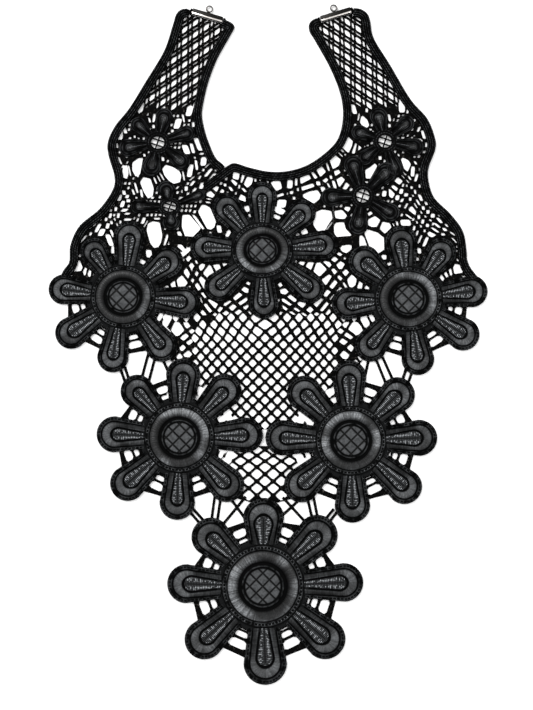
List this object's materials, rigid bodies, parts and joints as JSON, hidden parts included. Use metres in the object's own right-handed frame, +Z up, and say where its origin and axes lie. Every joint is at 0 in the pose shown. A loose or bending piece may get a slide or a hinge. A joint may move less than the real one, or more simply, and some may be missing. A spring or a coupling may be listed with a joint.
{
  "type": "lace bib necklace",
  "caption": "Bib necklace of black guipure lace, laid flat, with raised daisies, a net ground, corded edges and metal ribbon clamps on the strap ends.",
  "frame": {"origin": "middle of the piece's outline, on the surface that it lies on", "axes": "+Z up out of the lace's face, +Y towards the strap ends, +X to the right seen from above"},
  "size_m": [0.2626, 0.4072, 0.0043],
  "materials": {
    "lace_thread": "tight black rayon cord, softly glossy along the strands",
    "satin_petal": "padded black satin stitch with a soft sheen across the stitches",
    "satin_centre": "padded black satin ring and quilted disc",
    "cord_band": "three rows of black corded stitching",
    "clamp_metal": "bright plated steel"
  },
  "bodies": {
    "root": {"ground_front": "lace_thread", "ground_left": "lace_thread", "ground_right": "lace_thread", "daisy_top": "satin_petal", "daisy_upper_left": "satin_petal", "daisy_upper_right": "satin_petal", "daisy_middle_left": "satin_petal", "daisy_middle_right": "satin_petal", "daisy_bottom": "satin_petal", "centre_top": "satin_centre", "centre_upper_left": "satin_centre", "centre_upper_right": "satin_centre", "centre_middle_left": "satin_centre", "centre_middle_right": "satin_centre", "centre_bottom": "satin_centre", "flower_left_high": "satin_petal", "flower_left_low": "satin_petal", "flower_right_high": "satin_petal", "flower_right_low": "satin_petal", "eye_left_high": "satin_centre", "eye_left_low": "satin_centre", "eye_right_high": "satin_centre", "eye_right_low": "satin_centre", "band_left_outer": "cord_band", "band_left_inner": "cord_band", "band_front": "cord_band", "band_right_outer": "cord_band", "clamp_left": "clamp_metal", "clamp_right": "clamp_metal", "loop_left": "clamp_metal", "loop_right": "clamp_metal"}
  },
  "joints": []
}
